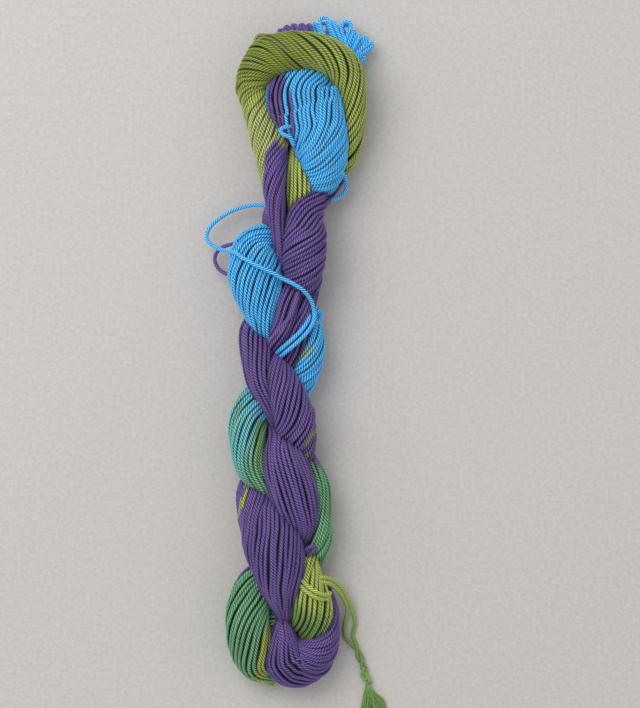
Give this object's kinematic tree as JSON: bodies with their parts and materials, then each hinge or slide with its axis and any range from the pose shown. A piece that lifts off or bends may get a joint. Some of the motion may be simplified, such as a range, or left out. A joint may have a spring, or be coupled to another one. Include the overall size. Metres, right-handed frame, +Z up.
{
  "type": "twisted hank of yarn",
  "caption": "Twisted hank of smooth plied yarn dyed in purple, sky blue, green and lime, with a collar and a tuft of loop ends at one end, slack loops at the side and a lime tie with free ends.",
  "frame": {"origin": "on the surface that the hank lies on, below the middle of the box around the hank", "axes": "+Z up, +Y along the hank towards its collar and tuft, +X to the right as seen from above with the collar at the top"},
  "size_m": [0.0917, 0.3532, 0.037],
  "materials": {
    "purple_yarn": "matt plied yarn, deep violet, with sky blue, teal, emerald and olive lime lengths along it",
    "blue_yarn": "matt plied yarn, sky blue",
    "lime_yarn": "matt plied yarn, lime",
    "green_yarn": "matt plied yarn, mid green, lime near the tie"
  },
  "bodies": {
    "root": {"hank": "purple_yarn", "slack_loop_blue": "blue_yarn", "slack_loop_inner": "blue_yarn", "slack_loop_purple": "purple_yarn", "slack_loop_right": "blue_yarn", "tie": "lime_yarn", "tail_left": "green_yarn", "tail_right": "green_yarn", "tail_knot": "green_yarn", "tail_tassel": "green_yarn"}
  },
  "joints": []
}
